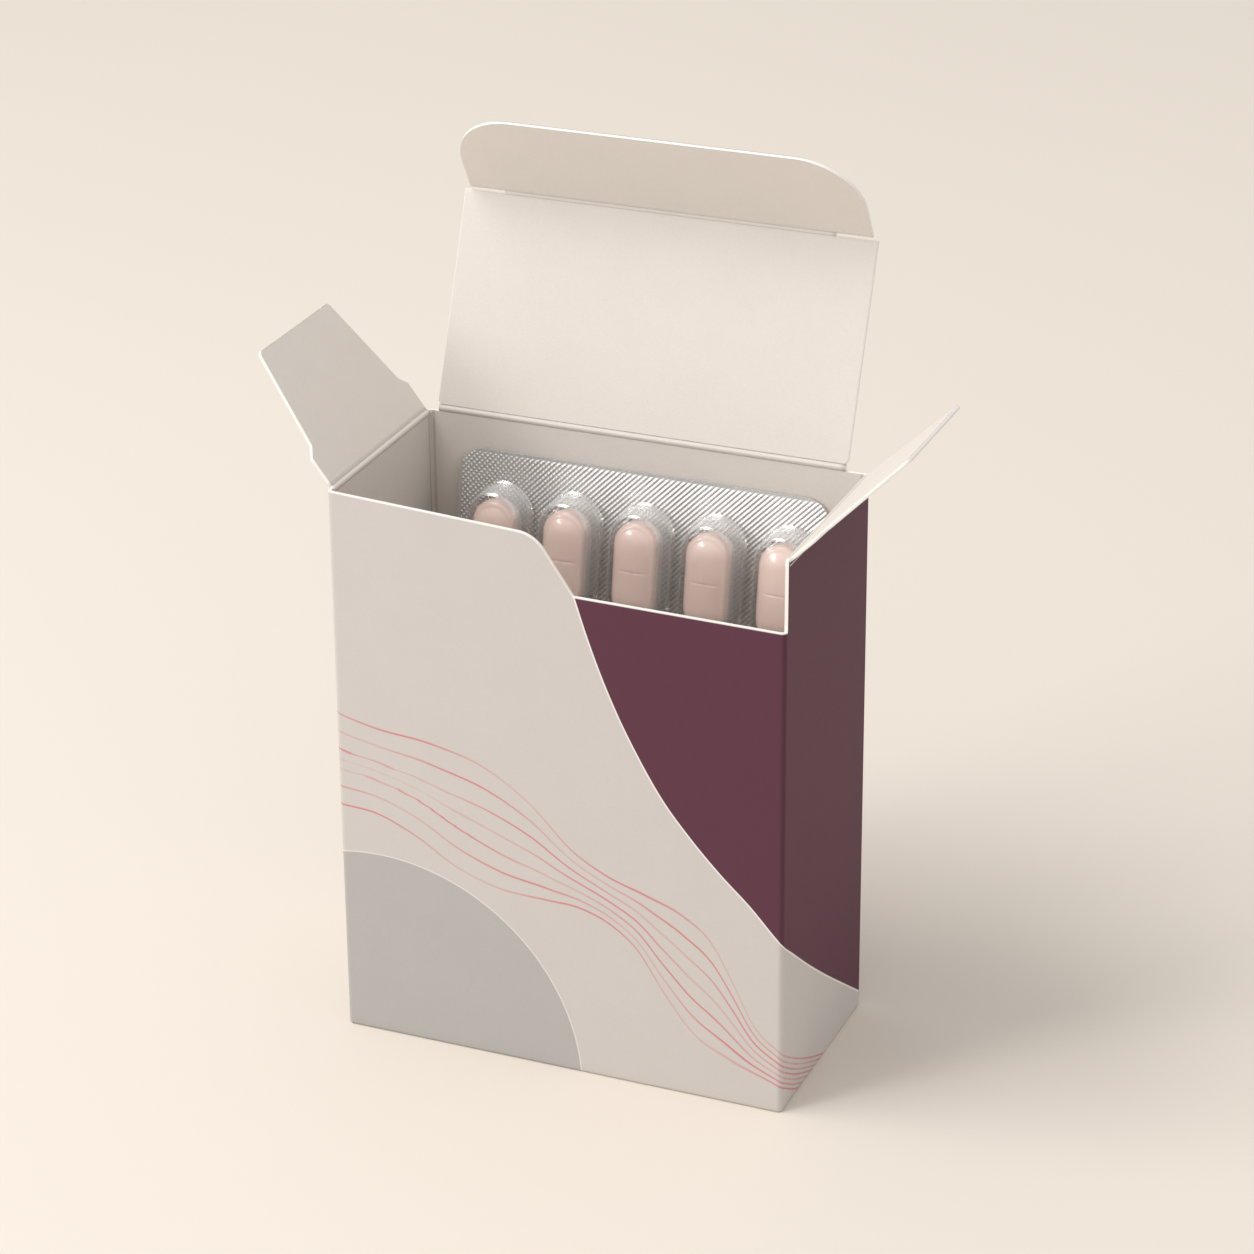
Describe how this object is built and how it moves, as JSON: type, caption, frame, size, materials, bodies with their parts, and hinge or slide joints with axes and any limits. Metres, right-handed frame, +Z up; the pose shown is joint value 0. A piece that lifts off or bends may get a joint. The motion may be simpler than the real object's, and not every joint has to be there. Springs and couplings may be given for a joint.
{
  "type": "box of tablets",
  "caption": "Open folding carton with hinged lid, tuck and dust flaps, holding a clear blister of coated tablets.",
  "frame": {"origin": "centre of the carton's base, on the surface that it stands on", "axes": "+Z up; -Y out of the front panel; +X to the right when facing the front panel"},
  "size_m": [0.1128, 0.0525, 0.1512],
  "materials": {
    "printed_board": "matt printed folding board",
    "plain_board": "matt uncoated inner side",
    "foil": "knurled seal pattern",
    "film": "clear formed film",
    "tablet_coat": "satin tablet coating"
  },
  "bodies": {
    "carton": {"sleeve": "printed_board", "foil": "foil", "film": "film", "tablet_1_1": "tablet_coat", "tablet_1_2": "tablet_coat", "tablet_1_3": "tablet_coat", "tablet_1_4": "tablet_coat", "tablet_1_5": "tablet_coat", "tablet_2_1": "tablet_coat", "tablet_2_2": "tablet_coat", "tablet_2_3": "tablet_coat", "tablet_2_4": "tablet_coat", "tablet_2_5": "tablet_coat", "tablet_3_1": "tablet_coat", "tablet_3_2": "tablet_coat", "tablet_3_3": "tablet_coat", "tablet_3_4": "tablet_coat", "tablet_3_5": "tablet_coat", "tablet_4_1": "tablet_coat", "tablet_4_2": "tablet_coat", "tablet_4_3": "tablet_coat", "tablet_4_4": "tablet_coat", "tablet_4_5": "tablet_coat"},
    "lid": {"lid": "plain_board"},
    "tuck": {"tuck": "plain_board"},
    "dust_flap_left": {"dust_flap_left": "plain_board"},
    "dust_flap_right": {"dust_flap_right": "plain_board"}
  },
  "joints": [
    {"name": "lid_hinge", "type": "hinge", "parent": "carton", "child": "lid", "pos_m": [0, 0.0193, 0.1006], "axis": [1, 0, 0], "range_deg": [-69, 108.5]},
    {"name": "tuck_hinge", "type": "hinge", "parent": "lid", "child": "tuck", "pos_m": [0, 0.03286, 0.13594], "axis": [1, 0, 0], "range_deg": [-51, 41.5]},
    {"name": "dust_hinge_left", "type": "hinge", "parent": "carton", "child": "dust_flap_left", "pos_m": [-0.0397, 0, 0.0997], "axis": [0, 1, 0], "range_deg": [-52.3, 127.7]},
    {"name": "dust_hinge_right", "type": "hinge", "parent": "carton", "child": "dust_flap_right", "pos_m": [0.0397, 0, 0.0997], "axis": [0, -1, 0], "range_deg": [-45, 135]}
  ]
}
